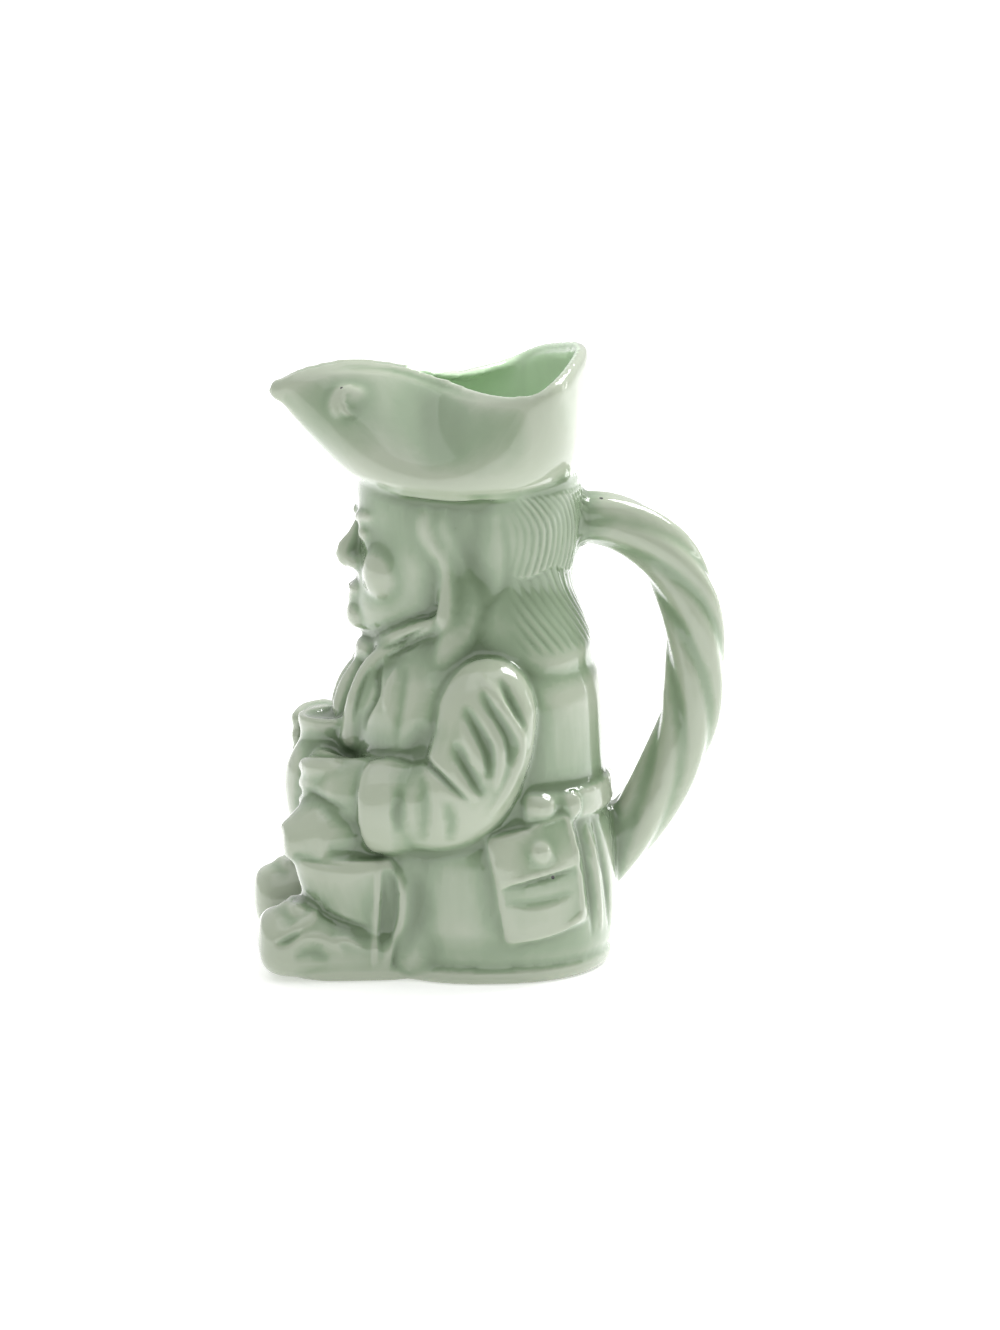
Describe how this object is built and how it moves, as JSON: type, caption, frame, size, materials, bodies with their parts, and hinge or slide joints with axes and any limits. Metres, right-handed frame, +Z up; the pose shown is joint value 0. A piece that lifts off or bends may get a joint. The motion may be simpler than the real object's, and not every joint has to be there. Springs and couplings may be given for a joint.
{
  "type": "toby jug",
  "caption": "Hollow glazed earthenware jug cast as a seated figure in a three-cornered hat, open at the hat, with a rope-twist handle.",
  "frame": {"origin": "middle of the footprint box, on the table plane under the foot", "axes": "+Z up, the figure faces -Y with its pouring corner over -Y, the handle is at +Y, and the figure's left side is +X"},
  "size_m": [0.0772, 0.1072, 0.14],
  "materials": {
    "celadon_glaze": "glossy pale celadon glaze, greener where it pools and paler over ridges and edges"
  },
  "bodies": {
    "root": {"toby_jug": "celadon_glaze"}
  },
  "joints": []
}
